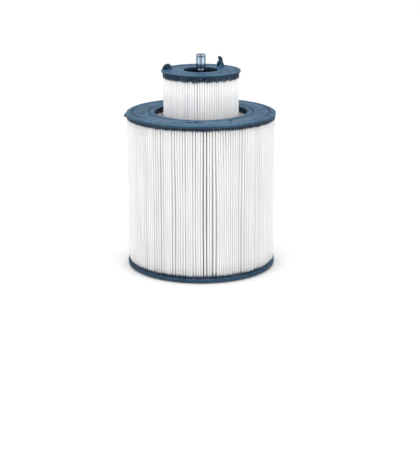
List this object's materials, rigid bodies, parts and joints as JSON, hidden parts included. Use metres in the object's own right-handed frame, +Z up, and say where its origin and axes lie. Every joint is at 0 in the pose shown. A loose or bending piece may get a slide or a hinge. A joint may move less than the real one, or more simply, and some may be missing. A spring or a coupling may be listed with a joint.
{
  "type": "nested pool filter cartridge set",
  "caption": "Two nested ring-shaped pleated cartridges on one axis, the wide one round the tall one, with dark cast caps, perforated cores and a steel centre rod.",
  "frame": {"origin": "on the common axis of both cartridges, at the flat base that they stand on", "axes": "+Z up along the common axis; -Y towards the viewer; the raised lever stands at the back right"},
  "size_m": [0.404, 0.4, 0.5723],
  "materials": {
    "cap_plastic": "cast polyurethane, satin",
    "potting": "cast resin, dull",
    "pleat_cloth": "spunbonded polyester, matt",
    "core_plastic": "moulded",
    "seal_rubber": "matt",
    "steel": "polished"
  },
  "bodies": {
    "large_module": {"large_top_cap": "cap_plastic", "large_top_potting": "potting", "large_outer_pleats": "pleat_cloth", "large_inner_pleats": "pleat_cloth", "large_outer_core": "core_plastic", "large_inner_core": "core_plastic", "large_bottom_outer_potting": "potting", "large_bottom_inner_potting": "potting", "large_bottom_cap": "cap_plastic", "large_outer_seal": "seal_rubber", "large_inner_seal": "seal_rubber"},
    "small_module": {"small_top_cap": "cap_plastic", "small_top_potting": "potting", "small_outer_pleats": "pleat_cloth", "small_inner_pleats": "pleat_cloth", "small_outer_core": "core_plastic", "small_inner_core": "core_plastic", "small_bottom_outer_potting": "potting", "small_bottom_inner_potting": "potting", "small_bottom_cap": "cap_plastic", "small_outer_seal": "seal_rubber", "small_inner_seal": "seal_rubber", "hub_bush": "core_plastic", "left_lever_pin": "steel", "right_lever_pin": "steel"},
    "left_lever": {"left_lift_lever": "cap_plastic"},
    "right_lever": {"right_lift_lever": "cap_plastic"},
    "centre_rod_body": {"centre_rod": "steel", "rod_collar": "steel", "rod_seal": "seal_rubber"},
    "rod_nut_body": {"rod_nut": "steel"}
  },
  "joints": [
    {"name": "small_module_lift", "type": "slide", "parent": "large_module", "child": "small_module", "axis": [0, 0, 1], "range_m": [0, 0.45]},
    {"name": "left_lever_fold", "type": "hinge", "parent": "small_module", "child": "left_lever", "pos_m": [-0.09412, 0.02347, 0.536], "axis": [-0.2419, -0.9703, 0], "range_deg": [0, 90]},
    {"name": "right_lever_fold", "type": "hinge", "parent": "small_module", "child": "right_lever", "pos_m": [0.05212, 0.08181, 0.536], "axis": [-0.8434, 0.5373, 0], "range_deg": [-90, 0]},
    {"name": "centre_rod_lift", "type": "slide", "parent": "small_module", "child": "centre_rod_body", "axis": [0, 0, 1], "range_m": [0, 0.3]},
    {"name": "rod_nut_turn", "type": "hinge", "parent": "centre_rod_body", "child": "rod_nut_body", "pos_m": [0, 0, 0.555], "axis": [0, 0, 1], "continuous": true}
  ]
}
